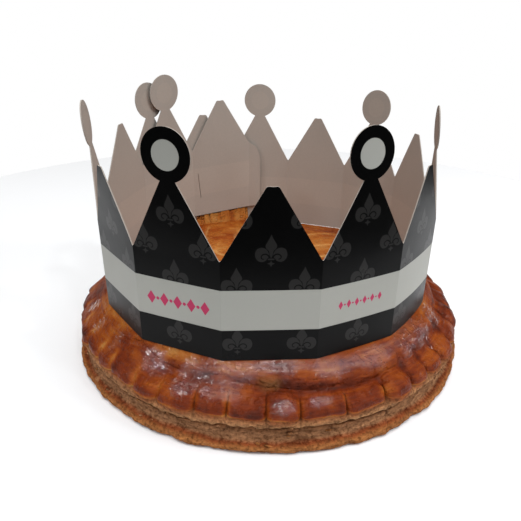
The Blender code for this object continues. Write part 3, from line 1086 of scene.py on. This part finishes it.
def pastry_arrays():
    """The pastry's points in mm, the attributes its material reads, and where the brush strokes lie."""
    grid = pastry_grid()
    points = pastry_points(grid)
    card_apart = fit_to_card(grid, points)
    height, on_rim = grid.height, grid.on_rim
    spot = np.linalg.norm((points - np.array(PALE_SPOT)) / np.array(PALE_SPOT_SIZE), axis=-1)
    patch = 1 - ramp(spot + 1.2 * rough_noise(points, 4.0, 42), 1.2, 4.6)
    dribble = 0.8 * rough_noise(grid.plan, 6.0, 31) + 0.5 * noise(grid.plan, 17.0, 32)
    scuff = 0.2 * ramp(noise(grid.shell, 5.0, 37), 0.62, 0.8) * (1 - ramp(grid.radius, 84, 90))
    scored = 0.9 * grid.score * (0.75 + 0.5 * noise(grid.shell, 3.0, 38))
    # Painted shade in the knife notches and along the open crack of the side
    dark = 0.7 * grid.knife * on_rim * ramp(height, 8.0, 20.0) * ramp(height, 26.2, 24.0)
    dark += 0.8 * bump_at(height, 12.1, 0.55) * on_rim * grid.opened + 0.12 * grid.below * grid.knife
    attributes = {
        "brown": np.minimum(browning(grid, card_apart) - 0.18 * patch, 0.80),
        "glaze": np.where(on_rim, ramp(height + dribble, 17.2, 18.2), 1.0),
        "pale": np.clip(scored + 0.20 * patch + scuff * grid.on_dome, 0, 1),
        "dark": np.clip(dark, 0, 1),
        "wet": wetness(grid),
        "layer": height / 30,
    }
    across, ahead = np.sin(grid.turn) * STROKES_ROUND, -np.cos(grid.turn) * STROKES_ROUND
    return points, attributes, np.stack([across, ahead, grid.length / STROKE_WIDTH], -1)


def ring_faces(points, attributes, around):
    """The rows as one closed mesh: (points, faces, attributes). Nearer the middle it has fewer columns."""
    count, wide = points.shape[:2]
    steps = []
    for row in range(count):
        away = np.hypot(points[row, :, 0], points[row, :, 1]).mean()
        steps.append(1 if away > HALF_COLUMNS_INSIDE else 2 if away > QUARTER_COLUMNS_INSIDE else 4)
    kept = [row * wide + np.arange(0, wide, step) for row, step in enumerate(steps)]
    starts = [0] + np.cumsum([len(row) for row in kept[:-1]]).tolist()
    kept = np.concatenate(kept)
    faces = []
    for row in range(count - 1):
        lower, upper = starts[row], starts[row + 1]
        here, there = wide // steps[row], wide // steps[row + 1]
        ratio = here // there
        for i in range(there):
            below = [lower + (ratio * i + k) % here for k in range(ratio + 1)]
            faces.append((*below, upper + (i + 1) % there, upper + i))
    flat = points.reshape(-1, 3)[kept]
    top, bottom = len(flat), len(flat) + 1
    last, inner = starts[-1], wide // steps[-1]
    faces += [(last + i, last + (i + 1) % inner, top) for i in range(inner)]
    faces += [((i + 1) % wide, i, bottom) for i in range(wide)]
    centre_top = flat[last : last + inner].mean(axis=0)
    extra = np.array([centre_top, [centre_top[0], centre_top[1], 0.0]])
    flat = np.concatenate([flat, extra])
    chosen = {}
    for name, values in attributes.items():
        value = values.reshape(-1)[kept]
        chosen[name] = np.concatenate([value, [value[last : last + inner].mean(), value[0]]])
    spun = around.reshape(-1, 3)[kept]
    chosen["brush"] = np.concatenate([spun, [spun[last], spun[0]]])
    return flat, faces, chosen


def mesh_object(name, points, faces, attributes, material):
    """An object from points in mm and one value, or one vector, a point for each attribute."""
    mesh = bpy.data.meshes.new(name)
    mesh.from_pydata((points * MM).tolist(), [], faces)
    for key, values in attributes.items():
        kind = "FLOAT_VECTOR" if values.ndim == 2 else "FLOAT"
        layer = mesh.attributes.new(key, kind, "POINT")
        layer.data.foreach_set("vector" if values.ndim == 2 else "value", values.astype(np.float32).ravel())
    mesh.materials.append(material)
    mesh.shade_smooth()
    return new_object(name, mesh)


def make_flakes(material):
    """Small leaves of pastry that hang loose at the torn edges."""
    chance = random.Random(12)
    places = ((4.6, 114.6), (12.8, 114.7), (9.0, 113.6), (1.6, 117.0))  # height and radius
    points, faces, layers = [], [], []
    for number in range(LOOSE_FLAKES):
        turn = math.radians(chance.uniform(-100, 100) if number % 3 else chance.uniform(100, 260))
        height, radius = chance.choice(places if abs(turn) > math.radians(55) else places[:3])
        size = chance.uniform(0.7, 1.9) * (1.3 if height < 5 else 1.0)
        out = Vector((math.sin(turn), -math.cos(turn), 0.0))
        along = Vector((math.cos(turn), math.sin(turn), chance.uniform(-0.4, 0.4))).normalized()
        lean = (Vector((0, 0, 1)) * chance.uniform(-0.5, 1) + out * chance.uniform(0.4, 1.0)).normalized()
        middle = out * (radius + chance.uniform(-0.3, 0.5))
        middle.z = height + chance.uniform(-0.8, 0.8)
        thick = along.cross(lean).normalized() * 0.16
        corners = chance.randint(5, 8)
        start = len(points)
        for side in (1, -1):
            for i in range(corners):
                spin = 2 * math.pi * (i + chance.uniform(-0.2, 0.2)) / corners
                reach = size * chance.uniform(0.55, 1.0)
                point = middle + along * math.cos(spin) * reach * 1.3 + lean * math.sin(spin) * reach * 0.7
                point += thick * side
                point.z = max(point.z, 0.05)
                points.append(tuple(point))
        faces.append(tuple(range(start, start + corners)))
        faces.append(tuple(range(start + 2 * corners - 1, start + corners - 1, -1)))
        for i in range(corners):
            j = (i + 1) % corners
            faces.append((start + j, start + i, start + corners + i, start + corners + j))
        layers += [chance.choice((0.06, 0.10, 0.24, 0.46, 0.50))] * (2 * corners)
    nothing = np.zeros(len(points))
    attributes = {name: nothing for name in ("glaze", "pale", "wet")}
    # Each loose flake gets a little painted shade
    attributes.update(brown=nothing + 0.4, dark=nothing + 0.05, layer=np.array(layers))
    attributes["brush"] = np.zeros((len(points), 3))
    flakes = mesh_object("loose_flakes", np.array(points), faces, attributes, material)
    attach(flakes, "root")


def make_pastry(material):
    points, attributes, around = pastry_arrays()
    flat, faces, chosen = ring_faces(points, attributes, around)
    pastry = mesh_object("pastry", flat, faces, chosen, material)
    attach(pastry, "root")
    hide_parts("galette")


# ---- stage


def make_floor():
    build = bmesh.new()
    bmesh.ops.create_circle(build, cap_ends=True, segments=96, radius=FLOOR_RADIUS)
    mesh = bpy.data.meshes.new("floor")
    build.to_mesh(mesh)
    build.free()
    mesh.materials.append(floor_material())
    floor = new_object("floor", mesh)
    floor.location = (0.0, FLOOR_BACK, CAD_LOW.z - 0.0002)


def area_light(name, place, size, power, color):
    light = bpy.data.lights.new(name, "AREA")
    light.shape = "RECTANGLE"
    light.size, light.size_y = size
    light.energy = power
    light.color = color
    obj = new_object(name, light)
    obj.location = place
    obj.rotation_euler = (Vector(LAMPS_AIM) - Vector(place)).to_track_quat("-Z", "Y").to_euler()
    return obj


def make_lights():
    sun = bpy.data.lights.new("soft_sky", "SUN")
    sun.energy = SKY_POWER
    sun.angle = math.radians(SKY_ANGLE)
    above = new_object("soft_sky", sun)
    above.visible_glossy = False
    above.rotation_euler = (math.radians(SKY_TILT), 0.0, 0.0)
    for number, place in enumerate(LAMP_PLACES):
        area_light(f"lamp_{number}", place, LAMP_SIZE, LAMP_POWER, (0.93, 0.96, 1.0))
    right = area_light("soft_right", RIGHT_PLACE, RIGHT_SIZE, RIGHT_POWER, (0.96, 0.97, 1.0))
    right.visible_glossy = False


def make_world():
    """A dim grey sky that lights the scene, behind it plain white for the camera."""
    world = bpy.data.worlds.new("studio")
    bpy.context.scene.world = world
    world.use_nodes = True
    tree = world.node_tree
    light = tree.nodes["Background"]
    towards = add(tree, "ShaderNodeTexCoord").outputs["Generated"]
    height = add(tree, "ShaderNodeSeparateXYZ", Vector=towards).outputs["Z"]
    sky = grey_ramp(tree, plus_times(tree, 0.5, height, 0.5), SKY_GREYS)
    tree.links.new(sky, light.inputs["Color"])
    light.inputs["Strength"].default_value = 1.0
    backdrop = add(tree, "ShaderNodeBackground", Color=(1.0, 1.0, 1.0, 1.0), Strength=1.0)
    seen = add(tree, "ShaderNodeLightPath").outputs["Is Camera Ray"]
    mixed = add(tree, "ShaderNodeMixShader", i0=seen, i1=light.outputs[0], i2=backdrop.outputs[0])
    tree.links.new(mixed.outputs[0], tree.nodes["World Output"].inputs["Surface"])


def make_camera():
    camera = new_object("camera", bpy.data.cameras.new("camera"))
    camera.data.sensor_width = SENSOR
    camera.data.lens = LENS
    camera.data.clip_start = 0.01
    yaw, pitch, roll = (math.radians(angle) for angle in (CAMERA_YAW, CAMERA_PITCH, CAMERA_ROLL))
    ahead = Vector((math.sin(yaw) * math.cos(pitch), math.cos(yaw) * math.cos(pitch), -math.sin(pitch)))
    right = Vector((math.cos(yaw), -math.sin(yaw), 0.0))
    up = right.cross(ahead)
    across = right * math.cos(roll) + up * math.sin(roll)
    placed = Matrix((across, up * math.cos(roll) - right * math.sin(roll), -ahead)).transposed().to_4x4()
    placed.translation = (*CAMERA_FROM_CENTRE, CROWN_LOW.z + CAMERA_ABOVE_FOOT)
    camera.matrix_world = placed
    bpy.context.scene.camera = camera


def main():
    bpy.context.scene.view_settings.view_transform = "Standard"
    make_camera()
    make_lights()
    make_world()
    make_floor()
    make_crown()
    crust = pastry_material()
    make_pastry(crust)
    make_flakes(crust)


main()
